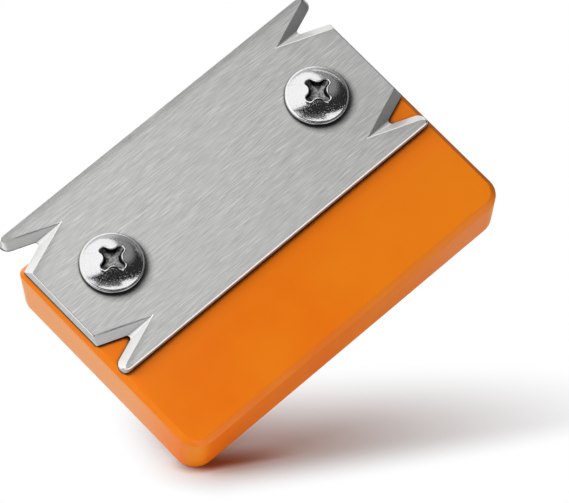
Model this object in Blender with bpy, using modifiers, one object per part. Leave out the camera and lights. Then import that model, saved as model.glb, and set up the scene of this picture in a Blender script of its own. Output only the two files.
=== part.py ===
"""Edge banding trimmer: a moulded grip block that carries a notched steel cutter plate.

Metres, +Z up. The origin is the middle of the block's underside, +X runs along the
plate, and +Y points to the side where the plate overhangs the block.
In use the overhang rides on the panel, the block's +Y side runs along the edge,
and the lower edges of a notch shear off the banding that stands proud.
"""

import math

import bmesh
import bpy
from mathutils import Matrix

# Grip block
BLOCK_LENGTH = 0.0760
BLOCK_WIDTH = 0.0470
BLOCK_HEIGHT = 0.0107
BLOCK_HAND_CORNER = 0.0040
BLOCK_FENCE_CORNER_TOP = 0.0012
BLOCK_FENCE_CORNER_FOOT = 0.0040
BLOCK_TOP_CHAMFER = 0.0010
BLOCK_BOTTOM_ROUND = 0.0006
BLOCK_FLOOR = 0.0019

# Cutter plate, with its length and the notches given on its top face
PLATE_LENGTH = 0.0736
PLATE_WIDTH = 0.0342
PLATE_THICKNESS = 0.0015
PLATE_OVERHANG = 0.00625
PLATE_END_SLOPE = 0.0007
PLATE_TIP_RADIUS = 0.0013
TOOTH_TIP_WIDTH = 0.0009
NOTCH_DEPTH = 0.0108
NOTCH_ANGLE = math.radians(41.4)
NOTCH_BEVEL_WIDTH = 0.00165
NOTCH_EDGE_LAND = 0.0003
NOTCH_ROOT_RADIUS = 0.0006

# Clamp screws, truss headed with a cross recess
SCREW_SPACING = 0.0500
SCREW_DIAMETER = 0.0050
SCREW_TIP_CHAMFER = 0.0006
SCREW_TIP_CLEARANCE = 0.0009
HEAD_DIAMETER = 0.0117
HEAD_HEIGHT = 0.0029
HEAD_RIM = 0.0006
RECESS_SPAN = 0.0058
RECESS_FLOOR_SPAN = 0.0030
RECESS_WING = 0.0016
RECESS_FLOOR_WING = 0.0009
RECESS_CORE = 0.0034
RECESS_DEPTH = 0.0020
RECESS_TURNS = {"left": math.radians(8.0), "right": math.radians(5.0)}

# Threaded inserts, knurled in two bands
INSERT_WALL = 0.0009
INSERT_LENGTH = 0.0070
INSERT_GROOVE_WIDTH = 0.0012
INSERT_GROOVE_DEPTH = 0.0004
INSERT_LEAD_IN = 0.0005

# Gaps left between pieces that touch, and how far cutters stand clear of what they cut
SEAT_GAP = 0.0003
SIDE_GAP = 0.0003
CUT_MARGIN = 0.0020

# Facets
CORNER_SEGMENTS = 8
ROUND_SEGMENTS = 3
TURNED_STEPS = 48
DOME_SEGMENTS = 8

# Places worked out from the sizes above
PLATE_Y = BLOCK_WIDTH / 2 + PLATE_OVERHANG - PLATE_WIDTH / 2
PLATE_UNDERSIDE = BLOCK_HEIGHT + SEAT_GAP
PLATE_TOP = PLATE_UNDERSIDE + PLATE_THICKNESS
HEAD_SEAT = PLATE_TOP + SEAT_GAP
SCREW_TIP = BLOCK_FLOOR + SCREW_TIP_CLEARANCE
SCREW_LENGTH = HEAD_SEAT - SCREW_TIP
SCREW_HOLE_RADIUS = SCREW_DIAMETER / 2 + SIDE_GAP
INSERT_RADIUS = SCREW_HOLE_RADIUS + INSERT_WALL
POCKET_RADIUS = INSERT_RADIUS + SIDE_GAP
SIDES = {"left": -1, "right": 1}


def clear_scene():
    for item in list(bpy.data.objects):
        bpy.data.objects.remove(item, do_unlink=True)


def new_collection(name):
    collection = bpy.data.collections.new(name)
    bpy.context.scene.collection.children.link(collection)
    return collection


def principled(name, colour, roughness, metallic):
    material = bpy.data.materials.new(name)
    material.use_nodes = True
    shader = material.node_tree.nodes["Principled BSDF"]
    shader.inputs["Base Color"].default_value = (*colour, 1.0)
    shader.inputs["Roughness"].default_value = roughness
    shader.inputs["Metallic"].default_value = metallic
    return material


def add_object(name, bm, collection, location=(0, 0, 0), turn=0.0):
    mesh = bpy.data.meshes.new(name)
    bmesh.ops.recalc_face_normals(bm, faces=bm.faces)
    bm.to_mesh(mesh)
    bm.free()
    item = bpy.data.objects.new(name, mesh)
    item.location = location
    item.rotation_euler.z = turn
    collection.objects.link(item)
    return item


def add_cutter(name, bm, location=(0, 0, 0), turn=0.0):
    item = add_object(name, bm, cutters, location, turn)
    item.hide_render = True
    item.display_type = "WIRE"
    return item


def cut(target, cutter):
    modifier = target.modifiers.new(cutter.name, "BOOLEAN")
    modifier.operation = "DIFFERENCE"
    modifier.solver = "EXACT"
    modifier.object = cutter


def box(length, width, height):
    """A box that stands on z = 0."""
    bm = bmesh.new()
    bmesh.ops.create_cube(bm, size=1.0)
    bmesh.ops.translate(bm, vec=(0, 0, 0.5), verts=bm.verts)
    bmesh.ops.scale(bm, vec=(length, width, height), verts=bm.verts)
    return bm


def cylinder(radius, low, high):
    bm = bmesh.new()
    bmesh.ops.create_cone(bm, cap_ends=True, segments=TURNED_STEPS, radius1=radius, radius2=radius, depth=high - low)
    bmesh.ops.translate(bm, vec=(0, 0, (low + high) / 2), verts=bm.verts)
    return bm


def bevel(bm, edges, offset, segments):
    bmesh.ops.bevel(bm, geom=edges, offset=offset, segments=segments, profile=0.5, affect="EDGES")


def upright_edges(bm):
    """The edges that climb from one level to another."""
    return [e for e in bm.edges if abs(e.verts[0].co.z - e.verts[1].co.z) > 1e-6]


def lofted(outlines):
    """A closed body through outlines that have as many points each, from its foot to its top."""
    bm = bmesh.new()
    rings = [[bm.verts.new(point) for point in outline] for outline in outlines]
    bm.faces.new(rings[0])
    bm.faces.new(rings[-1])
    for lower, upper in zip(rings, rings[1:]):
        for step in range(len(lower)):
            bm.faces.new((lower[step - 1], lower[step], upper[step], upper[step - 1]))
    return bm


def turned(name, profile, collection, location, closed=False):
    """A profile of (radius, height) points, run down its outer side and spun about Z."""
    bm = bmesh.new()
    verts = [bm.verts.new((radius, 0, height)) for radius, height in profile]
    for first, second in zip(verts, verts[1:]):
        bm.edges.new((first, second))
    if closed:
        bm.edges.new((verts[-1], verts[0]))
    item = add_object(name, bm, collection, location)
    spin = item.modifiers.new("turn", "SCREW")
    spin.axis = "Z"
    spin.steps = TURNED_STEPS
    spin.render_steps = TURNED_STEPS
    spin.use_merge_vertices = True
    spin.merge_threshold = 0.00001
    return item


def block_outline(z, inset):
    """Points round the block at a height, drawn in by an inset. The fence corners are sharper near the top."""
    fence_corner = BLOCK_FENCE_CORNER_FOOT + (BLOCK_FENCE_CORNER_TOP - BLOCK_FENCE_CORNER_FOOT) * z / BLOCK_HEIGHT
    points = []
    for quarter, (x_side, y_side) in enumerate(((1, 1), (-1, 1), (-1, -1), (1, -1))):
        radius = (fence_corner if y_side > 0 else BLOCK_HAND_CORNER) - inset
        centre_x = x_side * (BLOCK_LENGTH / 2 - inset - radius)
        centre_y = y_side * (BLOCK_WIDTH / 2 - inset - radius)
        for step in range(CORNER_SEGMENTS + 1):
            angle = math.pi / 2 * (quarter + step / CORNER_SEGMENTS)
            points.append((centre_x + radius * math.cos(angle), centre_y + radius * math.sin(angle), z))
    return points


def make_grip_block():
    """A solid moulding: round corners, a chamfer round the top and two stepped screw pockets."""
    outlines = []
    for step in range(ROUND_SEGMENTS + 1):
        angle = math.pi / 2 * step / ROUND_SEGMENTS
        rise = BLOCK_BOTTOM_ROUND * (1 - math.cos(angle))
        outlines.append(block_outline(rise, BLOCK_BOTTOM_ROUND * (1 - math.sin(angle))))
    outlines.append(block_outline(BLOCK_HEIGHT - BLOCK_TOP_CHAMFER, 0.0))
    outlines.append(block_outline(BLOCK_HEIGHT, BLOCK_TOP_CHAMFER))
    bm = lofted(outlines)
    block = add_object("grip_block", bm, parts)
    block.data.materials.append(principled("orange_plastic", (0.80, 0.15, 0.01), 0.42, 0.0))
    pocket_floor = BLOCK_HEIGHT - INSERT_LENGTH - SEAT_GAP
    for side, sign in SIDES.items():
        place = (sign * SCREW_SPACING / 2, PLATE_Y, 0)
        pocket = cylinder(POCKET_RADIUS, pocket_floor, BLOCK_HEIGHT + CUT_MARGIN)
        cut(block, add_cutter(f"insert_pocket_{side}", pocket, place))
        hole = cylinder(SCREW_HOLE_RADIUS, BLOCK_FLOOR, BLOCK_HEIGHT + CUT_MARGIN)
        cut(block, add_cutter(f"tip_hole_{side}", hole, place))
    return block


def notch_prism(apex, mouth, low, high, flare=1.0):
    """A V lying along X from its apex to its mouth, widened by flare about the mouth at its top."""
    half_mouth = (mouth - apex) * math.tan(NOTCH_ANGLE / 2)
    bm = bmesh.new()
    corners = [(apex, 0, low), (mouth, -half_mouth, low), (mouth, half_mouth, low)]
    outline = bm.faces.new([bm.verts.new(corner) for corner in corners])
    raised = bmesh.ops.extrude_face_region(bm, geom=[outline])["geom"]
    top = [item for item in raised if isinstance(item, bmesh.types.BMVert)]
    bmesh.ops.translate(bm, vec=(0, 0, high - low), verts=top)
    about_mouth = Matrix.Translation((-mouth, 0, 0))
    bmesh.ops.scale(bm, vec=(flare, flare, 1), space=about_mouth, verts=top)
    return bm


def make_cutter_plate():
    """A ground steel plate: sloped ends and four V notches whose flanks are bevelled from the top.

    Each notch is a slot with a round root, cut right through, and a wider V that is ground
    from the top face down to the land, which leaves the shearing edge at the underside.
    """
    half_foot = PLATE_LENGTH / 2 + PLATE_END_SLOPE
    bm = box(2 * half_foot, PLATE_WIDTH, PLATE_THICKNESS)
    top = [v for v in bm.verts if v.co.z > PLATE_THICKNESS / 2]
    bmesh.ops.scale(bm, vec=(PLATE_LENGTH / 2 / half_foot, 1, 1), verts=top)
    bevel(bm, upright_edges(bm), PLATE_TIP_RADIUS, CORNER_SEGMENTS)
    plate = add_object("cutter_plate", bm, parts, (0, PLATE_Y, PLATE_UNDERSIDE))
    plate.data.materials.append(principled("brushed_steel", (0.58, 0.58, 0.57), 0.32, 1.0))

    half_angle = NOTCH_ANGLE / 2
    mouth = half_foot + CUT_MARGIN
    top_apex = PLATE_LENGTH / 2 - NOTCH_DEPTH
    root_apex = top_apex + NOTCH_BEVEL_WIDTH / math.sin(half_angle)
    bevel_height = PLATE_THICKNESS - NOTCH_EDGE_LAND
    cut_top = PLATE_THICKNESS + CUT_MARGIN
    cut_apex = root_apex - (root_apex - top_apex) * (cut_top - NOTCH_EDGE_LAND) / bevel_height
    flare = (mouth - cut_apex) / (mouth - root_apex)
    notch_y = PLATE_WIDTH / 2 - TOOTH_TIP_WIDTH - NOTCH_DEPTH * math.tan(half_angle)
    for side, turn in (("right", 0.0), ("left", math.pi)):
        for edge, y in (("far", notch_y), ("near", -notch_y)):
            slot = notch_prism(root_apex, mouth, -CUT_MARGIN, cut_top)
            root = [e for e in upright_edges(slot) if e.verts[0].co.x < (root_apex + mouth) / 2]
            bevel(slot, root, NOTCH_ROOT_RADIUS / math.tan(half_angle), CORNER_SEGMENTS)
            bevelled = notch_prism(root_apex, mouth, NOTCH_EDGE_LAND, cut_top, flare)
            place = (0, PLATE_Y + y, PLATE_UNDERSIDE)
            cut(plate, add_cutter(f"notch_slot_{side}_{edge}", slot, place, turn))
            cut(plate, add_cutter(f"notch_bevel_{side}_{edge}", bevelled, place, turn))
    for side, sign in SIDES.items():
        hole = cylinder(SCREW_HOLE_RADIUS, -CUT_MARGIN, cut_top)
        place = (sign * SCREW_SPACING / 2, PLATE_Y, PLATE_UNDERSIDE)
        cut(plate, add_cutter(f"plate_hole_{side}", hole, place))
    return plate


def recess_wing(crown):
    """One tapered bar of the cross recess, run on past the crown so that it cuts cleanly."""
    rise = CUT_MARGIN / RECESS_DEPTH
    floor = crown - RECESS_DEPTH
    span = RECESS_SPAN + rise * (RECESS_SPAN - RECESS_FLOOR_SPAN)
    wing = RECESS_WING + rise * (RECESS_WING - RECESS_FLOOR_WING)
    bm = box(RECESS_FLOOR_SPAN, RECESS_FLOOR_WING, RECESS_DEPTH + CUT_MARGIN)
    top = [v for v in bm.verts if v.co.z > RECESS_DEPTH / 2]
    bmesh.ops.scale(bm, vec=(span / RECESS_FLOOR_SPAN, wing / RECESS_FLOOR_WING, 1), verts=top)
    bmesh.ops.translate(bm, vec=(0, 0, floor), verts=bm.verts)
    return bm


def make_clamp_screw(side):
    """A truss-head machine screw: domed head with a thin rim, plain shank at thread size, chamfered tip."""
    rim_radius = HEAD_DIAMETER / 2
    dome_rise = HEAD_HEIGHT - HEAD_RIM
    dome_radius = (rim_radius**2 + dome_rise**2) / (2 * dome_rise)
    dome_angle = math.asin(rim_radius / dome_radius)
    shank = SCREW_DIAMETER / 2
    profile = []
    for step in range(DOME_SEGMENTS + 1):
        angle = dome_angle * step / DOME_SEGMENTS
        height = HEAD_HEIGHT - dome_radius * (1 - math.cos(angle))
        profile.append((dome_radius * math.sin(angle), height))
    profile += [
        (rim_radius, 0),
        (shank, 0),
        (shank, SCREW_TIP_CHAMFER - SCREW_LENGTH),
        (shank - SCREW_TIP_CHAMFER, -SCREW_LENGTH),
        (0, -SCREW_LENGTH),
    ]
    place = (SIDES[side] * SCREW_SPACING / 2, PLATE_Y, HEAD_SEAT)
    screw = turned(f"clamp_screw_{side}", profile, parts, place)
    screw.data.materials.append(principled(f"chrome_{side}", (0.75, 0.75, 0.76), 0.10, 1.0))
    turn = RECESS_TURNS[side]
    cut(screw, add_cutter(f"recess_long_{side}", recess_wing(HEAD_HEIGHT), place, turn))
    cut(screw, add_cutter(f"recess_cross_{side}", recess_wing(HEAD_HEIGHT), place, turn + math.pi / 2))
    core = bmesh.new()
    core_height = RECESS_DEPTH + CUT_MARGIN
    core_top = RECESS_CORE / 2 * core_height / RECESS_DEPTH
    bmesh.ops.create_cone(
        core, cap_ends=True, segments=TURNED_STEPS, radius1=RECESS_FLOOR_WING / 2, radius2=core_top, depth=core_height
    )
    bmesh.ops.translate(core, vec=(0, 0, HEAD_HEIGHT - RECESS_DEPTH + core_height / 2), verts=core.verts)
    cut(screw, add_cutter(f"recess_core_{side}", core, place))
    return screw


def make_thread_insert(side):
    """A brass sleeve moulded into the block: two bands with a groove between them and a tapered lead-in."""
    groove_top = -(INSERT_LENGTH - INSERT_GROOVE_WIDTH) / 2
    groove_foot = groove_top - INSERT_GROOVE_WIDTH
    groove_radius = INSERT_RADIUS - INSERT_GROOVE_DEPTH
    profile = [
        (INSERT_RADIUS, 0),
        (INSERT_RADIUS, groove_top),
        (groove_radius, groove_top - INSERT_GROOVE_DEPTH),
        (groove_radius, groove_foot + INSERT_GROOVE_DEPTH),
        (INSERT_RADIUS, groove_foot),
        (INSERT_RADIUS, INSERT_LEAD_IN - INSERT_LENGTH),
        (INSERT_RADIUS - INSERT_LEAD_IN, -INSERT_LENGTH),
        (SCREW_HOLE_RADIUS, -INSERT_LENGTH),
        (SCREW_HOLE_RADIUS, 0),
    ]
    place = (SIDES[side] * SCREW_SPACING / 2, PLATE_Y, BLOCK_HEIGHT)
    insert = turned(f"thread_insert_{side}", profile, parts, place, closed=True)
    insert.data.materials.append(principled(f"brass_{side}", (0.72, 0.50, 0.18), 0.30, 1.0))
    return insert


clear_scene()
parts = new_collection("edge_banding_trimmer")
cutters = new_collection("cutters")
make_grip_block()
make_cutter_plate()
for side_name in SIDES:
    make_thread_insert(side_name)
    make_clamp_screw(side_name)
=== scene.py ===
"""Looks of the edge banding trimmer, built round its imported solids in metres."""

import math

import bmesh
import bpy
from mathutils import Matrix, Vector
from mathutils.geometry import interpolate_bezier


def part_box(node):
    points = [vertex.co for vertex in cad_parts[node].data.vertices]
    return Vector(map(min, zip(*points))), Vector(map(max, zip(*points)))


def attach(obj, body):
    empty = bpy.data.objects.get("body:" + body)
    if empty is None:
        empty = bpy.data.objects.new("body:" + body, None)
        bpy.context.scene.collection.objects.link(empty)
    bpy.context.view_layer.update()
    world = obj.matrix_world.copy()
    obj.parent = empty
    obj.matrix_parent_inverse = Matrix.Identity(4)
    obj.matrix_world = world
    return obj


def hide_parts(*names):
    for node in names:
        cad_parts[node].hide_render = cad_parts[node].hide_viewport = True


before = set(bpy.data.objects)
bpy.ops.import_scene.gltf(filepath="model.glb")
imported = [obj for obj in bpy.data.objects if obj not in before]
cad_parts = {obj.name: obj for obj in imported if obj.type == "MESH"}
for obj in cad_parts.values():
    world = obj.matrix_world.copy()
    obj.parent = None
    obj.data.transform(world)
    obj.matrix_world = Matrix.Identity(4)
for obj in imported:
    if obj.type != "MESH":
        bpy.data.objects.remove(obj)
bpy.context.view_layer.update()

# Grip block
# One solid injection moulding in satin orange plastic, with sides and ends polished by the mould.
# Its hand-side corners are well rounded. Its fence corners are sharper towards the top, the +X one
# less so. Two stepped pockets take the inserts.
BLOCK_HAND_CORNER = 0.0040
BLOCK_FENCE_CORNER_TOPS = {-1: 0.0012, 1: 0.0026}
BLOCK_FENCE_CORNER_FOOT = 0.0040
BLOCK_TOP_CHAMFER = 0.0010
BLOCK_FOOT_ROUND = 0.0006
BLOCK_ARRIS = 0.00025
# A rise and an inset for each ring round an arris, as shares of its size.
BLOCK_ARRIS_CURVE = ((-0.41, 0.0), (-0.12, 0.05), (0.30, 0.30))
BLOCK_CORNER_STEPS = 16
BLOCK_ROUND_STEPS = 5
POCKET_FLOOR = 0.0019
POCKET_CLEARANCE = 0.0003
POCKET_HOLE_RADIUS = 0.0028
HOLE_SEGMENTS = 64
BLOCK_FLOW_SCALE = 45.0
BLOCK_GRAIN_SCALE = 5200.0
BLOCK_PORE_SCALE = 1500.0
# Across Y, the band where painted light brightens the top near the plate.
BLOCK_PAINTED_LIGHT_BAND = (-0.0110, -0.0052)
BLOCK_END_POLISH = (0.004, 0.038)
# Across Y, where the mould's polish and the painted sheen on the -X end reach.
BLOCK_FENCE_POLISH_AND_SHEEN = (-0.024, -0.004)
BLOCK_TOP_BAND = (0.0085, 0.0095)
BLOCK_SHADE_REACH = 0.0012
BLOCK_ORANGE = (0.92, 0.235, 0.010, 1.0)
BLOCK_DEEP_ORANGE = (0.90, 0.185, 0.008, 1.0)
# Painted sheen on the -X end.
BLOCK_PALE_ORANGE = (0.86, 0.285, 0.020, 1.0)
# Painted shade on the end chamfers.
BLOCK_CHAMFER_SHADE_ORANGE = (0.82, 0.205, 0.012, 1.0)
# Painted light on the hand-side corners.
BLOCK_CORNER_LIGHT_ORANGE = (0.95, 0.29, 0.014, 1.0)
# Painted light on the top near the plate.
BLOCK_PAINTED_LIGHT_ORANGE = (1.0, 0.228, 0.012, 1.0)
BLOCK_SHADE = (0.03, 0.006, 0.001, 1.0)
DIAGONAL = 0.71

block_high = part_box("grip_block")[1]
SIDES = ("left", "right")


class Signal:
    """One output of a material's nodes. Arithmetic on it adds Math nodes."""

    def __init__(self, tree, socket=None):
        self.tree = tree
        self.socket = socket

    def node(self, kind, settings=None, inputs=None, output=0):
        """Adds a node, sets it up, then feeds its sockets with values or with other signals."""
        made = self.tree.nodes.new(kind)
        for name, value in (settings or {}).items():
            setattr(made, name, value)
        for name, value in (inputs or {}).items():
            if isinstance(value, Signal):
                self.tree.links.new(value.socket, made.inputs[name])
            else:
                made.inputs[name].default_value = value
        return Signal(self.tree, made.outputs[output] if made.outputs else None)

    def math(self, operation, first, second):
        return self.node("ShaderNodeMath", {"operation": operation}, {0: first, 1: second})

    def __add__(self, other):
        return self.math("ADD", self, other)

    def __sub__(self, other):
        return self.math("SUBTRACT", self, other)

    def __rsub__(self, other):
        return self.math("SUBTRACT", other, self)

    def __mul__(self, other):
        return self.math("MULTIPLY", self, other)

    def __pow__(self, other):
        return self.math("POWER", self, other)

    def __abs__(self):
        return self.math("ABSOLUTE", self, 0.0)

    __radd__ = __add__
    __rmul__ = __mul__

    def larger(self, other):
        """This value or another, whichever is larger."""
        return self.math("MAXIMUM", self, other)

    def vector_math(self, operation, other, output):
        settings = {"operation": operation}
        return self.node("ShaderNodeVectorMath", settings, {0: self, 1: other}, output)

    def dot(self, other):
        """How far this vector points along another."""
        return self.vector_math("DOT_PRODUCT", other, "Value")

    def along(self, axis):
        """The X, Y or Z of this vector."""
        return self.node("ShaderNodeSeparateXYZ", inputs={0: self}, output=axis)

    def stretched(self, scale):
        """These coordinates, multiplied along each axis."""
        return self.node("ShaderNodeMapping", inputs={"Vector": self, "Scale": scale})

    def turned(self, angle):
        """These coordinates, turned about Z."""
        settings = {"rotation_type": "Z_AXIS"}
        return self.node("ShaderNodeVectorRotate", settings, {"Vector": self, "Angle": angle})

    def noise(self, scale=1.0, detail=2.0, roughness=0.5):
        """Noise over these coordinates, from 0 to 1."""
        inputs = {"Vector": self, "Scale": scale, "Detail": detail, "Roughness": roughness}
        return self.node("ShaderNodeTexNoise", inputs=inputs)

    def blend(self, low, high):
        """A colour that goes from low to high with this value, by a Mix node's colour sockets."""
        factor, first, second, result = 0, 6, 7, 2
        inputs = {factor: self, first: low, second: high}
        return self.node("ShaderNodeMix", {"data_type": "RGBA"}, inputs, result)

    def ramp(self, low, high):
        """This value, brought from low..high to 0..1 and held there."""
        settings = {"interpolation_type": "SMOOTHSTEP"}
        inputs = {"Value": self, "From Min": low, "From Max": high}
        return self.node("ShaderNodeMapRange", settings, inputs)

    def bump(self, strength, distance):
        """A normal bent by this value as a height."""
        inputs = {"Height": self, "Strength": strength, "Distance": distance}
        return self.node("ShaderNodeBump", inputs=inputs)

    def open_air(self, reach, **inputs):
        """How little stands within reach of the surface, from 0 to 1."""
        inputs["Distance"] = reach
        return self.node("ShaderNodeAmbientOcclusion", {"samples": 8}, inputs, "AO")

    def ray(self, kind):
        """1 for rays of this kind, and 0 for others."""
        return self.node("ShaderNodeLightPath", output=f"Is {kind} Ray")


def new_finish(name):
    """An empty material, with the object's own coordinates in metres as its first signal."""
    material = bpy.data.materials.new(name)
    material.use_nodes = True
    material.node_tree.nodes.clear()
    place = Signal(material.node_tree).node("ShaderNodeTexCoord", output="Object")
    return material, place


def show_surface(place, inputs):
    """Ends a material with a Principled surface."""
    surface = place.node("ShaderNodeBsdfPrincipled", inputs=inputs)
    place.node("ShaderNodeOutputMaterial", inputs={"Surface": surface})


def moulded_orange():
    """Satin plastic with faint flow tones and a fine grain, polished on its sides by the mould."""
    material, place = new_finish("moulded_orange")
    flow = place.noise(BLOCK_FLOW_SCALE, detail=3.0)
    grain = place.noise(BLOCK_GRAIN_SCALE, detail=3.0)
    pores = place.noise(BLOCK_PORE_SCALE)
    facing = place.node("ShaderNodeNewGeometry", output="Normal")
    upward = facing.along("Z")
    end_facing = facing.along("X")
    endward = abs(end_facing)
    painted_light_corner = (DIAGONAL * endward - DIAGONAL * facing.along("Y")).ramp(0.74, 1.0)
    painted_sheen_end = (end_facing * -1.0).ramp(0.60, 0.95)
    chamfer = upward.ramp(0.40, 0.60) * (1.0 - upward.ramp(0.80, 0.90))
    end_chamfer = chamfer * endward.ramp(0.40, 0.65)
    across = place.along("Y")
    fenceward = across.ramp(*BLOCK_FENCE_POLISH_AND_SHEEN)
    towards_ends = abs(place.along("X")).ramp(*BLOCK_END_POLISH)
    near_plate = across.ramp(*BLOCK_PAINTED_LIGHT_BAND) * upward.ramp(0.90, 0.98)
    orange = flow.ramp(0.3, 0.7).blend(BLOCK_DEEP_ORANGE, BLOCK_ORANGE)
    # Painted light: a brighter orange on the top along the plate, lifting the plate's soft shadow
    # there.
    orange = (0.9 * near_plate).blend(orange, BLOCK_PAINTED_LIGHT_ORANGE)
    # Painted sheen: a paler orange on the -X end towards the fence, as if it mirrored the white
    # floor.
    orange = (painted_sheen_end * fenceward).blend(orange, BLOCK_PALE_ORANGE)
    # Painted shade: a darker orange on the end chamfers, set against the light they catch.
    orange = end_chamfer.blend(orange, BLOCK_CHAMFER_SHADE_ORANGE)
    # Painted light: a brighter, yellower orange on the hand-side corners, as light off the floor
    # would give them.
    orange = painted_light_corner.blend(orange, BLOCK_CORNER_LIGHT_ORANGE)
    covered = 1.0 - place.open_air(BLOCK_SHADE_REACH).ramp(0.56, 0.86)
    under_plate = covered * place.along("Z").ramp(*BLOCK_TOP_BAND)
    gloss = 0.15 + 0.75 * towards_ends * (0.30 + 0.70 * fenceward)
    gloss = gloss * (1.0 - 0.75 * upward.ramp(0.75, 0.95)) + 0.50 * chamfer
    show_surface(place, {
        "Base Color": under_plate.blend(orange, BLOCK_SHADE),
        "Roughness": 0.36 + 0.10 * grain + 0.06 * flow,
        "Normal": (grain + 0.6 * pores).bump(0.20, 0.00004),
        "Specular IOR Level": 0.0,
        "Coat Weight": gloss * (1.0 - 0.85 * end_chamfer),
        "Coat Roughness": 0.32,
    })
    return material


def cylinder_mesh(centre, radius, low, high):
    bm = bmesh.new()
    place = Matrix.Translation((centre.x, centre.y, (low + high) / 2))
    sizes = {"radius1": radius, "radius2": radius, "depth": high - low}
    bmesh.ops.create_cone(bm, cap_ends=True, segments=HOLE_SEGMENTS, matrix=place, **sizes)
    return bm


def piece_from(name, bm):
    """A new object in the scene, made from a mesh under construction."""
    mesh = bpy.data.meshes.new(name)
    bmesh.ops.recalc_face_normals(bm, faces=bm.faces)
    bm.to_mesh(mesh)
    bm.free()
    piece = bpy.data.objects.new(name, mesh)
    bpy.context.scene.collection.objects.link(piece)
    return piece


def carve(piece, tool_meshes):
    """Cuts each tool out of the piece, keeps the result as its mesh and clears the tools away."""
    tools = [piece_from(f"tool_{number}", bm) for number, bm in enumerate(tool_meshes)]
    for tool in tools:
        cut = piece.modifiers.new(tool.name, "BOOLEAN")
        cut.operation = "DIFFERENCE"
        cut.solver = "EXACT"
        cut.object = tool
    whole = piece.data
    shown = piece.evaluated_get(bpy.context.evaluated_depsgraph_get())
    piece.data = bpy.data.meshes.new_from_object(shown)
    piece.data.name = piece.name
    piece.modifiers.clear()
    bpy.data.meshes.remove(whole)
    for tool in tools:
        bpy.data.objects.remove(tool)


def soften(piece, crease):
    """Smooth shading that keeps creases above an angle in degrees, with flat faces kept flat."""
    for face in piece.data.polygons:
        face.use_smooth = True
    piece.data.set_sharp_from_angle(angle=math.radians(crease))
    piece.modifiers.new("flat_faces", "WEIGHTED_NORMAL").keep_sharp = True


def finish_piece(piece, node, body, slot, *materials):
    """Puts a finished piece in its CAD node's place."""
    for material in materials:
        piece.data.materials.append(material)
    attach(piece, body)
    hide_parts(node)


def middle_of(node):
    low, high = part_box(node)
    return (low + high) / 2


def block_outline(height, inset):
    """Points round the block at a height, drawn in by an inset."""
    share = height / block_high.z
    points = []
    for quarter, (x_side, y_side) in enumerate(((1, 1), (-1, 1), (-1, -1), (1, -1))):
        corner = BLOCK_HAND_CORNER
        if y_side > 0:
            corner = BLOCK_FENCE_CORNER_FOOT * (1 - share) + BLOCK_FENCE_CORNER_TOPS[x_side] * share
        radius = max(corner - inset, BLOCK_ARRIS)
        centre_x = x_side * (block_high.x - inset - radius)
        centre_y = y_side * (block_high.y - inset - radius)
        for step in range(BLOCK_CORNER_STEPS + 1):
            angle = math.pi / 2 * (quarter + step / BLOCK_CORNER_STEPS)
            x = centre_x + radius * math.cos(angle)
            y = centre_y + radius * math.sin(angle)
            points.append((x, y, height))
    return points


def loft_mesh(rings, hollow=False):
    """A closed body through rings of as many points, capped, or closed on itself where hollow."""
    bm = bmesh.new()
    loops = [[bm.verts.new(point) for point in ring] for ring in rings]
    if hollow:
        loops.append(loops[0])
    else:
        bm.faces.new(loops[0])
        bm.faces.new(loops[-1])
    for lower, upper in zip(loops, loops[1:]):
        for step in range(len(lower)):
            bm.faces.new((lower[step - 1], lower[step], upper[step], upper[step - 1]))
    return bm


block_rings = []
for step in range(BLOCK_ROUND_STEPS + 1):
    angle = math.pi / 2 * step / BLOCK_ROUND_STEPS
    rise = BLOCK_FOOT_ROUND * (1 - math.cos(angle))
    block_rings.append(block_outline(rise, BLOCK_FOOT_ROUND * (1 - math.sin(angle))))
chamfer_foot = block_high.z - BLOCK_TOP_CHAMFER
for rise, inset in BLOCK_ARRIS_CURVE:
    block_rings.append(block_outline(chamfer_foot + rise * BLOCK_ARRIS, inset * BLOCK_ARRIS))
for inset, fall in reversed(BLOCK_ARRIS_CURVE):
    ring_height = block_high.z - fall * BLOCK_ARRIS
    block_rings.append(block_outline(ring_height, BLOCK_TOP_CHAMFER - inset * BLOCK_ARRIS))
grip_block = piece_from("grip_block_moulding", loft_mesh(block_rings))
pockets = []
for side in SIDES:
    insert_low, insert_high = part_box(f"thread_insert_{side}")
    pocket_radius = (insert_high.x - insert_low.x) / 2 + POCKET_CLEARANCE
    axis = middle_of(f"thread_insert_{side}")
    above = block_high.z + BLOCK_TOP_CHAMFER
    pockets.append(cylinder_mesh(axis, pocket_radius, insert_low.z - POCKET_CLEARANCE, above))
    pockets.append(cylinder_mesh(axis, POCKET_HOLE_RADIUS, POCKET_FLOOR, above))
carve(grip_block, pockets)
soften(grip_block, crease=40)
finish_piece(grip_block, "grip_block", "trimmer", "grip", moulded_orange())

# Threaded inserts
# Two turned brass sleeves moulded into the block. Straight knurling in two bands, with a groove
# between them, keeps them from turning or pulling out; the screws run in their bores.
INSERT_BORE_RADIUS = 0.0028
INSERT_KNURL_DEPTH = 0.00018
INSERT_TEETH = 36
INSERT_GROOVE = 0.0012
INSERT_LEAD = 0.0005
TURNING_SPREAD = (1.0, 1.0, 9000.0)
TARNISH_SCALE = 700.0
BRASS = (0.72, 0.50, 0.18, 1.0)
BRASS_DULL = (0.58, 0.38, 0.12, 1.0)


def turned_brass():
    """Brass with the fine rings of the turning tool, a little tarnished."""
    material, place = new_finish("turned_brass")
    tool_marks = place.stretched(TURNING_SPREAD).noise(detail=1.0)
    tarnish = place.noise(TARNISH_SCALE, detail=4.0)
    show_surface(place, {
        "Base Color": tarnish.blend(BRASS_DULL, BRASS),
        "Metallic": 1.0,
        "Roughness": 0.22 + 0.14 * tool_marks,
        "Normal": tool_marks.bump(0.2, 0.00002),
    })
    return material


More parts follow.
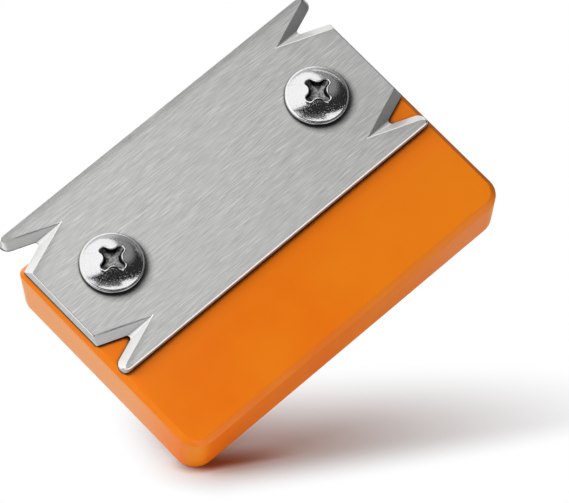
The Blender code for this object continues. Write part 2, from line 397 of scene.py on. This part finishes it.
def insert_ring(axis, radius, height, knurl=0.0):
    """A ring of the insert with four points to a tooth, cut back by the knurl between the teeth."""
    ring = []
    for step in range(INSERT_TEETH * 4):
        angle = math.pi / 2 * step / INSERT_TEETH
        reach = radius - knurl * (1 - abs(step % 4 - 2) / 2)
        ring.append(axis + Vector((reach * math.cos(angle), reach * math.sin(angle), height)))
    return ring


brass = turned_brass()
for side in SIDES:
    node = f"thread_insert_{side}"
    insert_low, insert_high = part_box(node)
    axis = middle_of(node)
    axis.z = 0.0
    outer = (insert_high.x - insert_low.x) / 2
    neck = outer - 2 * INSERT_KNURL_DEPTH
    mid_height = (insert_low.z + insert_high.z) / 2
    groove_top = mid_height + INSERT_GROOVE / 2
    groove_foot = mid_height - INSERT_GROOVE / 2
    insert_rings = [
        insert_ring(axis, neck, insert_high.z),
        insert_ring(axis, outer, insert_high.z - INSERT_LEAD, INSERT_KNURL_DEPTH),
        insert_ring(axis, outer, groove_top, INSERT_KNURL_DEPTH),
        insert_ring(axis, neck, groove_top - INSERT_KNURL_DEPTH),
        insert_ring(axis, neck, groove_foot + INSERT_KNURL_DEPTH),
        insert_ring(axis, outer, groove_foot, INSERT_KNURL_DEPTH),
        insert_ring(axis, outer, insert_low.z + INSERT_LEAD, INSERT_KNURL_DEPTH),
        insert_ring(axis, neck, insert_low.z),
        insert_ring(axis, INSERT_BORE_RADIUS, insert_low.z),
        insert_ring(axis, INSERT_BORE_RADIUS, insert_high.z),
    ]
    insert = piece_from(f"{node}_knurled", loft_mesh(insert_rings, hollow=True))
    soften(insert, crease=30)
    finish_piece(insert, node, "trimmer", "inserts", brass)

# Cutter plate
# Stainless sheet, blanked, brushed along its length and clamped to the block by the screws. Its
# ends are ground to a slope and its notches from the top, so that the shearing edge is at the
# underside. Use has rubbed its upper arris bright, but hardly at the +X end.
PLATE_END_SLOPE = 0.0007
PLATE_ARRIS = 0.00016
PLATE_ARRIS_FALL = 0.00019
PLATE_FOOT_ARRIS = 0.00005
PLATE_HOLE_RADIUS = 0.0028
TOOTH_TIP_WIDTH = 0.0009
NOTCH_DEPTH = 0.0108
NOTCH_ANGLE = math.radians(41.4)
NOTCH_BEVEL_WIDTH = 0.00165
NOTCH_EDGE_LAND = 0.0003
NOTCH_ROOT_RADIUS = 0.0006
NOTCH_TOP_RADIUS = 0.00004
HOLE_MARGIN = 0.0010
ROOT_STEPS = 5
TIP_REACH = 0.0013
TIP_STEPS = 16
CORNER_EASE = 0.00015
CORNER_PULL = 0.4
CORNER_STEPS = 5
BEVEL_STEPS = 6
SHEET, GROUND, WORN, BLANKED, TORN_SHADED_FOOT = range(5)
LEVEL = 0.99
STEEP = 0.6
FLANK_PLAY = 0.006
LITTLE_WORN_END = 0.5
BRUSH_SPREAD = (320.0, 9000.0, 300.0)
PATCH_SPREAD = (70.0, 160.0, 70.0)
SCRATCH_SPREAD = (170.0, 6000.0, 300.0)
SCRATCH_TURN = 0.05
STRAY_SPREAD = (210.0, 6400.0, 300.0)
STRAY_TURN = -0.09
GRINDING_SPREAD = (3800.0, 3800.0, 300.0)
RUB_SCALE = 1800.0
DRAG_SPREAD = (1400.0, 1400.0, 200.0)
TEAR_SCALE = 5200.0
# Reaches and slant of the painted shade round the screw heads and of the painted shadow on their -Y
# side.
CREVICE_SHADE_REACH = 0.0006
PAINTED_SHADOW_REACH = 0.0020
PAINTED_SHADOW_FACING = (-0.17, 0.73, 0.64)
STEEL = (0.70, 0.70, 0.69, 1.0)
STEEL_DARK = (0.42, 0.42, 0.41, 1.0)
# Colour of that painted shade and shadow.
STEEL_PAINTED_SHADE = (0.03, 0.03, 0.03, 1.0)
STEEL_GROUND = (0.97, 0.97, 0.96, 1.0)
STEEL_LINED = (0.88, 0.88, 0.87, 1.0)
STEEL_WORN = (0.95, 0.95, 0.94, 1.0)
EDGE_DARK = (0.44, 0.44, 0.44, 1.0)
EDGE_GREY = (0.64, 0.64, 0.64, 1.0)
# Painted shade that makes the foot of the edge near black.
TORN_SHADE_DARK = (0.03, 0.03, 0.03, 1.0)
TORN_SHADE_GREY = (0.12, 0.12, 0.12, 1.0)


def brushed_steel():
    """Sheet brushed along X, with patches of bright and dark scratches, and painted shade in its
    corners and round the screw heads, deepest on the heads' -Y side.
    """
    material, place = new_finish("brushed_steel")
    grain = place.stretched(BRUSH_SPREAD).noise(roughness=0.6)
    patches = place.stretched(PATCH_SPREAD).noise().ramp(0.40, 0.62)
    scratches = place.turned(SCRATCH_TURN).stretched(SCRATCH_SPREAD).noise(detail=1.0)
    strays = place.turned(STRAY_TURN).stretched(STRAY_SPREAD).noise(detail=1.0)
    tone = 0.03 + 0.75 * grain
    tone = tone + (0.10 + 0.20 * patches) * scratches.ramp(0.60, 0.72)
    tone = tone - (0.06 + 0.20 * patches) * strays.ramp(0.60, 0.72)
    # Painted shadow: occlusion sought on a slant towards +Y and up darkens a crescent on the -Y side
    # of each head.
    fence_side = place.node("ShaderNodeCombineXYZ", inputs=dict(enumerate(PAINTED_SHADOW_FACING)))
    outside_painted_shadow = place.open_air(PAINTED_SHADOW_REACH, Normal=fence_side).ramp(0.66, 0.88)
    # Painted shade: a thin dark ring wherever anything stands close, together with that painted
    # shadow.
    unshaded = place.open_air(CREVICE_SHADE_REACH).ramp(0.45, 0.95) * outside_painted_shadow
    sheet = tone.ramp(0.20, 0.68).blend(STEEL_DARK, STEEL)
    show_surface(place, {
        "Base Color": unshaded.blend(STEEL_PAINTED_SHADE, sheet),
        "Metallic": 0.84,
        "Roughness": 0.30 + 0.14 * grain,
        "Normal": tone.bump(0.30, 0.00002),
    })
    return material


def ground_steel():
    """Freshly ground faces, brighter than the sheet, with short grinding lines."""
    material, place = new_finish("ground_steel")
    lines = place.stretched(GRINDING_SPREAD).noise()
    show_surface(place, {
        "Base Color": lines.blend(STEEL_LINED, STEEL_GROUND),
        "Metallic": 0.9,
        "Roughness": 0.33 + 0.08 * lines,
        "Normal": lines.bump(0.02, 0.00001),
    })
    return material


def worn_arris():
    """The chamfered rim of the sheet, rubbed bright by use."""
    material, place = new_finish("worn_arris")
    rubs = place.noise(RUB_SCALE)
    show_surface(place, {
        "Base Color": rubs.blend(STEEL_GROUND, STEEL_WORN),
        "Metallic": 1.0,
        "Roughness": 0.16 + 0.10 * rubs,
    })
    return material


def blanked_edge():
    """The upper part of the blanked edge, drawn smooth but dull by the die."""
    material, place = new_finish("blanked_edge")
    drag = place.stretched(DRAG_SPREAD).noise()
    show_surface(place, {
        "Base Color": drag.blend(EDGE_DARK, EDGE_GREY),
        "Metallic": 0.7,
        "Roughness": 0.42 + 0.14 * drag,
        "Normal": drag.bump(0.10, 0.00002),
    })
    return material


def shaded_torn_foot():
    """The foot of the blanked edge, where the sheet broke away: rough, and painted near black as
    shade.
    """
    material, place = new_finish("shaded_torn_foot")
    tears = place.noise(TEAR_SCALE, detail=3.0)
    show_surface(place, {
        "Base Color": tears.blend(TORN_SHADE_DARK, TORN_SHADE_GREY),
        "Metallic": 0.6,
        "Roughness": 0.55 + 0.20 * tears,
        "Normal": tears.bump(0.25, 0.00004),
    })
    return material


def plate_finish(height, normal):
    """The finish of a face, by its height above the underside and its tilt.

    Where the arris faces +X it is little worn, so it looks like the blanked edge.
    """
    levelness = abs(normal.z)
    if levelness > LEVEL:
        return SHEET
    # The land at the foot takes the painted shade.
    if height < NOTCH_EDGE_LAND:
        return TORN_SHADED_FOOT
    if height > shoulder and abs(levelness - flank_level) > FLANK_PLAY:
        return BLANKED if normal.x > LITTLE_WORN_END else WORN
    return GROUND if levelness > STEEP else BLANKED


def plate_outline(height, inset):
    """Points round the plate at a height above its underside, drawn in by an inset."""
    bevelled = max(0.0, (height - NOTCH_EDGE_LAND) / (thickness - NOTCH_EDGE_LAND))
    end = half_foot - PLATE_END_SLOPE * height / thickness - inset
    side = half_width - inset
    apex = root_apex + (top_apex - root_apex) * bevelled
    root_radius = max(NOTCH_ROOT_RADIUS * (1 - bevelled), NOTCH_TOP_RADIUS)
    root_centre = apex + root_radius / math.sin(half_angle)
    half_mouth = (end - apex) * math.tan(half_angle)
    flank = Vector((math.cos(half_angle), math.sin(half_angle), 0))
    corner = Vector((end, notch_y - half_mouth, 0))
    below = corner - Vector((0, CORNER_EASE, 0))
    inside = corner + CORNER_EASE * Vector((-flank.x, flank.y, 0))
    handles = corner.lerp(below, CORNER_PULL), corner.lerp(inside, CORNER_PULL)
    quarter = interpolate_bezier(below, *handles, inside, CORNER_STEPS)
    for step in range(-ROOT_STEPS, ROOT_STEPS + 1):
        angle = math.pi - (math.pi / 2 - half_angle) * step / ROOT_STEPS
        outward = Vector((math.cos(angle), math.sin(angle), 0))
        quarter.append(Vector((root_centre, notch_y, 0)) + root_radius * outward)
    neck = end - TIP_REACH
    tip_inner = Vector((neck, notch_y + (neck - apex) * math.tan(half_angle), 0))
    tip_outer = Vector((neck, side, 0))
    # A curve comes three quarters of the way to its handles, so these bring it to the end.
    pull = TIP_REACH * 4 / 3
    inner_handle = tip_inner + pull * flank
    outer_handle = tip_outer + Vector((pull, 0, 0))
    quarter += interpolate_bezier(tip_inner, inner_handle, outer_handle, tip_outer, TIP_STEPS)
    half = quarter + [Vector((-q.x, q.y, 0)) for q in reversed(quarter)]
    ring = half + [-q for q in half]
    return [q + Vector((0, plate_centre.y, plate_low.z + height)) for q in ring]


plate_low, plate_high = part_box("cutter_plate")
plate_centre = (plate_low + plate_high) / 2
half_width = (plate_high.y - plate_low.y) / 2
half_foot = (plate_high.x - plate_low.x) / 2
half_top = half_foot - PLATE_END_SLOPE
thickness = plate_high.z - plate_low.z
half_angle = NOTCH_ANGLE / 2
flank_level = math.cos(math.atan2(thickness - NOTCH_EDGE_LAND, NOTCH_BEVEL_WIDTH))
top_apex = half_top - NOTCH_DEPTH
root_apex = top_apex + NOTCH_BEVEL_WIDTH / math.sin(half_angle)
notch_y = half_width - TOOTH_TIP_WIDTH - NOTCH_DEPTH * math.tan(half_angle)

plate_rings = [plate_outline(0.0, PLATE_FOOT_ARRIS), plate_outline(PLATE_FOOT_ARRIS, 0.0)]
shoulder = thickness - PLATE_ARRIS_FALL
for step in range(BEVEL_STEPS + 1):
    rise = (shoulder - NOTCH_EDGE_LAND) * step / BEVEL_STEPS
    plate_rings.append(plate_outline(NOTCH_EDGE_LAND + rise, 0.0))
plate_rings.append(plate_outline(thickness, PLATE_ARRIS))
plate = piece_from("cutter_plate_ground", loft_mesh(plate_rings))
hole_foot = plate_low.z - HOLE_MARGIN
hole_top = plate_high.z + HOLE_MARGIN
holes = []
for side in SIDES:
    screw_axis = middle_of(f"clamp_screw_{side}")
    holes.append(cylinder_mesh(screw_axis, PLATE_HOLE_RADIUS, hole_foot, hole_top))
carve(plate, holes)
for face in plate.data.polygons:
    face.material_index = plate_finish(face.center.z - plate_low.z, face.normal)
soften(plate, crease=30)
plate_finishes = (brushed_steel(), ground_steel(), worn_arris(), blanked_edge(), shaded_torn_foot())
finish_piece(plate, "cutter_plate", "trimmer", "plate", *plate_finishes)

# Clamp screws
# Bright plated steel machine screws with truss heads, each with a flat flange round its dome and a
# burr round its forged cross recess. They pass through the plate into the inserts and turn about
# their own axes when the plate is undone.
SCREW_RADIUS = 0.0025
SCREW_PITCH = 0.0008
SCREW_THREAD_DEPTH = 0.00045
SCREW_TIP_CHAMFER = 0.0006
SCREW_ROWS_PER_TURN = 6
HEAD_SEAT_GAP = 0.00005
HEAD_HEIGHT = 0.0032
HEAD_RIM = 0.00085
HEAD_RIM_ROUND = 0.00008
HEAD_RIM_WIDTH = 0.00022
HEAD_RIM_FALL = 0.00004
HEAD_CREASE_WIDTH = 0.15 * HEAD_RIM_WIDTH
HEAD_CREASE_FALL = 0.10 * HEAD_RIM_FALL
HEAD_FOOT_CUT = 0.3 * HEAD_RIM_ROUND
HEAD_BURR = 0.00005
DOME_STEPS = 20
RECESS_TURNS = {"left": math.radians(8.0), "right": math.radians(5.0)}
RECESS_ARC = 7
RECESS_DULL_BELOW = 0.00062
RECESS_DULL_REACH = 0.0027
RIPPLE_SCALE = 900.0
DENT_SCALE = 3600.0
PIT_SCALE = 4200.0
FORGING_SCALE = 2600.0
PLATING = (0.94, 0.94, 0.95, 1.0)
PLATING_DULL = (0.82, 0.82, 0.83, 1.0)
RECESS_GREY = (0.44, 0.44, 0.43, 1.0)
RECESS_DARK = (0.14, 0.14, 0.14, 1.0)
# Painted shade down the recess walls.
RECESS_WALL_SHADE = (0.03, 0.03, 0.03, 1.0)

# Each cross is a reach, half a wing's width and a fillet. The first number of a row is its depth
# below the crown for the floor, and below the dome for the mouth.
RECESS_FLOOR = (
    (0.00140, (0.00064, 0.00019, 0.00032)),
    (0.00135, (0.00176, 0.00049, 0.00091)),
    (0.00125, (0.00198, 0.00054, 0.00101)),
    (0.00090, (0.00250, 0.00065, 0.00122)),
)
RECESS_MOUTH = (
    (0.00030, (0.00276, 0.00071, 0.00132)),
    (0.00005, (0.00281, 0.00073, 0.00133)),
    (-HEAD_BURR, (0.00288, 0.00078, 0.00135)),
)
RECESS_BURR_OUTSIDE = (0.00304, 0.00087, 0.00136)
RECESS_LIP = (0.0032, 0.00098, 0.00136)


def bright_plating():
    """Barrel-plated steel: mirror bright, with the slight ripple and small dents of tumbling."""
    material, place = new_finish("bright_plating")
    ripple = place.noise(RIPPLE_SCALE)
    dents = place.noise(DENT_SCALE, detail=3.0)
    pits = place.noise(PIT_SCALE).ramp(0.60, 0.68)
    show_surface(place, {
        "Base Color": dents.blend(PLATING_DULL, PLATING),
        "Metallic": 1.0,
        "Roughness": 0.06 + 0.10 * dents,
        "Normal": (ripple + 0.5 * dents - 0.8 * pits).bump(0.20, 0.00010),
    })
    return material


def forged_recess():
    """The recess, darker than the plating: a dull grey floor, with painted shade down its walls that
    makes them near black.
    """
    material, place = new_finish("forged_recess")
    flow = place.noise(FORGING_SCALE, detail=3.0)
    upward = place.node("ShaderNodeNewGeometry", output="Normal").along("Z")
    floor_tone = flow.ramp(0.30, 0.70).blend(RECESS_DARK, RECESS_GREY)
    show_surface(place, {
        # Painted shade: faces that turn away from up, the walls, go near black.
        "Base Color": upward.ramp(0.70, 0.97).blend(RECESS_WALL_SHADE, floor_tone),
        "Metallic": 1.0,
        "Roughness": 0.30 + 0.15 * flow,
        "Normal": flow.bump(0.12, 0.00006),
    })
    return material


def cross_outline(cross, turn):
    """Points round a four-lobed cross with round ends and wide fillets between its wings."""
    reach, half_wing, fillet = cross
    points = []
    for quarter in range(4):
        swing = Matrix.Rotation(turn + quarter * math.pi / 2, 2)
        for step in range(-RECESS_ARC, RECESS_ARC + 1):
            angle = math.pi / 2 * step / RECESS_ARC
            along = reach - half_wing * (1 - math.cos(angle))
            points.append(swing @ Vector((along, half_wing * math.sin(angle))))
        for step in range(RECESS_ARC + 1):
            angle = math.pi / 2 * step / RECESS_ARC
            x = half_wing + fillet * (1 - math.sin(angle))
            y = half_wing + fillet * (1 - math.cos(angle))
            points.append(swing @ Vector((x, y)))
    return points


def circle(radius, headings):
    return [Vector((radius * math.cos(h), radius * math.sin(h))) for h in headings]


def threaded(height, headings):
    """A ring of a helical thread at a height."""
    ring = []
    for heading in headings:
        turn = (height / SCREW_PITCH - heading / (2 * math.pi)) % 1.0
        radius = SCREW_RADIUS - SCREW_THREAD_DEPTH * (1 - abs(2 * turn - 1))
        ring.append(Vector((radius * math.cos(heading), radius * math.sin(heading))))
    return ring


def at_height(ring, height):
    return [Vector((point.x, point.y, height)) for point in ring]


def on_dome(ring, dome_radius, crown, sunk=0.0):
    """Points lifted onto a dome with its crown at a height, or sunk below it."""
    fall = dome_radius - crown + sunk
    return [Vector((q.x, q.y, math.sqrt(dome_radius**2 - q.length_squared) - fall)) for q in ring]


plating = bright_plating()
recess_finish = forged_recess()
for side in SIDES:
    node = f"clamp_screw_{side}"
    screw_low, screw_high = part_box(node)
    axis = middle_of(node)
    rim = (screw_high.x - screw_low.x) / 2
    seat = plate_high.z + HEAD_SEAT_GAP
    crown = plate_high.z + HEAD_HEIGHT
    rim_top = plate_high.z + HEAD_RIM
    rim_foot = rim_top - HEAD_RIM_FALL
    dome_base = rim - HEAD_RIM_ROUND - HEAD_RIM_WIDTH
    dome_rise = crown - rim_top
    dome_radius = (dome_base**2 + dome_rise**2) / (2 * dome_rise)
    turn = RECESS_TURNS[side]
    rings = [at_height(cross_outline(cross, turn), crown - depth) for depth, cross in RECESS_FLOOR]
    for sunk, cross in RECESS_MOUTH:
        rings.append(on_dome(cross_outline(cross, turn), dome_radius, crown, sunk))
    burr_outside = cross_outline(RECESS_BURR_OUTSIDE, turn)
    rings.append([Vector((q.x, q.y, p.z)) for p, q in zip(rings[-1], burr_outside)])
    lip = cross_outline(RECESS_LIP, turn)
    headings = [math.atan2(point.y, point.x) for point in lip]
    dome_edge = circle(dome_base, headings)
    for step in range(DOME_STEPS + 1):
        between = [p.lerp(q, step / DOME_STEPS) for p, q in zip(lip, dome_edge)]
        rings.append(on_dome(between, dome_radius, crown))
    rim_profile = (
        (dome_base + HEAD_CREASE_WIDTH, rim_top - HEAD_CREASE_FALL),
        (rim - HEAD_RIM_ROUND, rim_foot),
        (rim, rim_foot - HEAD_RIM_ROUND),
        (rim, seat + HEAD_RIM_ROUND),
        (rim - HEAD_FOOT_CUT, seat + HEAD_FOOT_CUT),
        (rim - HEAD_RIM_ROUND, seat),
        (SCREW_RADIUS, seat),
    )
    for radius, height in rim_profile:
        rings.append(at_height(circle(radius, headings), height))
    thread_foot = screw_low.z + SCREW_TIP_CHAMFER
    thread_rows = round((seat - thread_foot) / (SCREW_PITCH / SCREW_ROWS_PER_TURN))
    for step in range(1, thread_rows + 1):
        height = seat + (thread_foot - seat) * step / thread_rows
        rings.append(at_height(threaded(height, headings), height))
    rings.append(at_height(circle(SCREW_RADIUS - SCREW_TIP_CHAMFER, headings), screw_low.z))
    screw_mesh = loft_mesh(rings)
    bmesh.ops.translate(screw_mesh, vec=(axis.x, axis.y, 0), verts=screw_mesh.verts)
    screw = piece_from(f"{node}_plated", screw_mesh)
    for face in screw.data.polygons:
        sunk_in_head = seat < face.center.z < crown - RECESS_DULL_BELOW
        in_recess = sunk_in_head and (face.center - axis).xy.length < RECESS_DULL_REACH
        face.material_index = 1 if in_recess else 0
    soften(screw, crease=50)
    finish_piece(screw, node, f"{side}_screw", "screws", plating, recess_finish)

# Studio
# The tool stands on one corner of its block on a white sweep, as in the photograph, so the floor is
# tilted against the tool's own axes. Soft boxes light it, mostly from the upper left. What the steel
# mirrors is one small lamp above and the lit walls of the world.
VIEW_TARGET = Vector((0.00195, -0.00403, 0.0060))
VIEW_DISTANCE = 0.8993
VIEW_HEADING = math.radians(50.21)
VIEW_ELEVATION = math.radians(65.42)
VIEW_ROLL = math.radians(7.885)
VIEW_END = 20.0
PHOTO_WIDTH = 569
FOCAL_PIXELS = 5002.3
SENSOR = 36.0
FLOOR_VIEW_ANGLE = math.radians(20.0)
FLOOR_SIZE = 4.0
FLOOR_FRONT = 0.10
CONTACT_REACH = 0.003
SHADE_CENTRE = Vector((0.0025, 0.0010, 0.0))
SHADE_HEADING = math.radians(20.0)
SHADE_AHEAD = 0.064
SHADE_BEHIND = 0.009
SHADE_FAR = 0.028
SHADE_NEAR = 0.0110
SOFT_WALL = (-0.608, 0.731, 0.306)
SOFT_WALL_EDGE = (0.55, 0.67)
BACK_WALL_EDGE = (0.40, 0.60)
RIGHT_WALL_EDGE = (0.38, 0.55)
LEFT_WALL_EDGE = (0.50, 0.80)
LOW_WALL_EDGE = (-0.26, -0.14)
HORIZON = (-0.04, 0.06)
CEILING_EDGE = (0.50, 0.75)
PAPER = (0.72, 0.72, 0.72, 1.0)
CONTACT_SHADE = (0.36, 0.13, 0.05, 1.0)
WHITE = (1.0, 1.0, 1.0, 1.0)
ROOM_LIGHT = (0.05, 0.05, 0.05, 1.0)
ROOM_LOW = (0.10, 0.10, 0.10, 1.0)
ROOM_DARK = (0.025, 0.025, 0.025, 1.0)
ROOM_HIGH = (0.24, 0.24, 0.24, 1.0)

forward = Vector((
    math.sin(VIEW_HEADING) * math.cos(VIEW_ELEVATION),
    math.cos(VIEW_HEADING) * math.cos(VIEW_ELEVATION),
    -math.sin(VIEW_ELEVATION),
))
level_right = forward.cross(Vector((0, 0, 1))).normalized()
level_up = level_right.cross(forward)
right = math.cos(VIEW_ROLL) * level_right + math.sin(VIEW_ROLL) * level_up
up = right.cross(forward)

camera = bpy.data.objects.new("camera", bpy.data.cameras.new("camera"))
camera.data.sensor_width = SENSOR
camera.data.lens = SENSOR * FOCAL_PIXELS / PHOTO_WIDTH
camera.data.clip_end = VIEW_END
facing = Matrix((right, up, -forward)).transposed().to_4x4()
camera.matrix_world = Matrix.Translation(VIEW_TARGET - forward * VIEW_DISTANCE) @ facing
bpy.context.scene.collection.objects.link(camera)
bpy.context.scene.camera = camera

floor_up = math.cos(FLOOR_VIEW_ANGLE) * up - math.sin(FLOOR_VIEW_ANGLE) * forward
floor_back = math.cos(FLOOR_VIEW_ANGLE) * forward + math.sin(FLOOR_VIEW_ANGLE) * up
foot = min(grip_block.data.vertices, key=lambda v: v.co.dot(floor_up)).co


def white_floor():
    """White paper that takes the tool's shadow, fading into a pure white sweep further out."""
    material, place = new_finish("white_floor")
    offset = place.vector_math("SUBTRACT", SHADE_CENTRE, "Vector").turned(-SHADE_HEADING)
    along = offset.along("X")
    across = offset.along("Y")
    lengthways = (along * (1 / SHADE_AHEAD)).larger(along * (-1 / SHADE_BEHIND))
    sideways = (across * (1 / SHADE_FAR)).larger(across * (-1 / SHADE_NEAR))
    away = (lengthways * lengthways + sideways * sideways) ** 0.5
    lit = place.open_air(CONTACT_REACH).ramp(0.20, 0.90) * away.ramp(0.02, 0.30)
    paper_tone = lit.blend(CONTACT_SHADE, PAPER)
    matt = {"Base Color": paper_tone, "Roughness": 1.0, "Specular IOR Level": 0.0}
    paper = place.node("ShaderNodeBsdfPrincipled", inputs=matt)
    sweep = place.node("ShaderNodeEmission", inputs={"Color": WHITE, "Strength": 1.0})
    seen = place.ray("Camera") + place.ray("Glossy") + place.ray("Transmission")
    fade = seen * away.ramp(0.14, 1.50)
    front = place.node("ShaderNodeMixShader", inputs={0: fade, 1: paper, 2: sweep})
    unseen = place.node("ShaderNodeNewGeometry", output="Backfacing") + place.ray("Shadow")
    clear = place.node("ShaderNodeBsdfTransparent")
    surface = place.node("ShaderNodeMixShader", inputs={0: unseen, 1: front, 2: clear})
    place.node("ShaderNodeOutputMaterial", inputs={"Surface": surface})
    return material


floor_mesh = bmesh.new()
bmesh.ops.create_grid(floor_mesh, x_segments=1, y_segments=1, size=FLOOR_SIZE / 2)
bmesh.ops.translate(floor_mesh, vec=(0, FLOOR_SIZE / 2 - FLOOR_FRONT, 0), verts=floor_mesh.verts)
floor = piece_from("floor", floor_mesh)
floor_axes = Matrix((right, floor_back, floor_up)).transposed().to_4x4()
floor.matrix_world = Matrix.Translation(foot) @ floor_axes
floor.data.materials.append(white_floor())


def from_view(place):
    """A vector that goes so far to the right, up and towards the camera."""
    return right * place[0] + up * place[1] - forward * place[2]


def soft_box(name, place, width, power, mirrored=False):
    """A round soft box at (right, up, towards the camera) from the tool, aimed at it."""
    lamp = bpy.data.lights.new(name, "AREA")
    lamp.shape = "DISK"
    lamp.size = width
    lamp.energy = power
    box = bpy.data.objects.new(name, lamp)
    offset = from_view(place)
    box.location = VIEW_TARGET + offset
    box.rotation_euler = offset.to_track_quat("Z", "Y").to_euler()
    box.visible_glossy = mirrored
    bpy.context.scene.collection.objects.link(box)


soft_box("key", (-0.79, 0.38, 0.167), width=0.90, power=6.8)
soft_box("side", (-0.50, 0.41, 0.63), width=0.50, power=2.3)
soft_box("top", (-0.022, 0.186, 0.184), width=0.12, power=0.022, mirrored=True)
soft_box("front", (0.09, 0.14, 0.89), width=0.50, power=2.35)
soft_box("table", (0.60, -0.50, 0.46), width=0.50, power=2.8)
soft_box("back", (0.50, 0.21, -0.72), width=0.50, power=1.2)

world = bpy.data.worlds.new("studio")
bpy.context.scene.world = world
world.use_nodes = True
world.node_tree.nodes.clear()
sky = Signal(world.node_tree)
direction = sky.node("ShaderNodeTexCoord", output="Generated")
above_floor = direction.dot(floor_up)
to_right = direction.dot(right)
low_sides = to_right.ramp(*RIGHT_WALL_EDGE).larger((to_right * -1.0).ramp(*LEFT_WALL_EDGE))
low_wall = low_sides.larger(1.0 - above_floor.ramp(*LOW_WALL_EDGE))
room_low = low_wall.blend(ROOM_LOW, WHITE)
room_high = above_floor.ramp(*CEILING_EDGE).blend(ROOM_DARK, ROOM_HIGH)
room = above_floor.ramp(*HORIZON).blend(room_low, room_high)
soft_wall = direction.dot(from_view(SOFT_WALL)).ramp(*SOFT_WALL_EDGE)
lit_wall = soft_wall.larger(direction.dot(forward).ramp(*BACK_WALL_EDGE))
backdrop = lit_wall.blend(room, WHITE)
mirrored = sky.ray("Glossy") + sky.ray("Transmission")
colour = sky.ray("Camera").blend(mirrored.blend(ROOM_LIGHT, backdrop), WHITE)
background = sky.node("ShaderNodeBackground", inputs={"Color": colour, "Strength": 1.0})
sky.node("ShaderNodeOutputWorld", inputs={"Surface": background})

bpy.context.scene.view_settings.view_transform = "Standard"
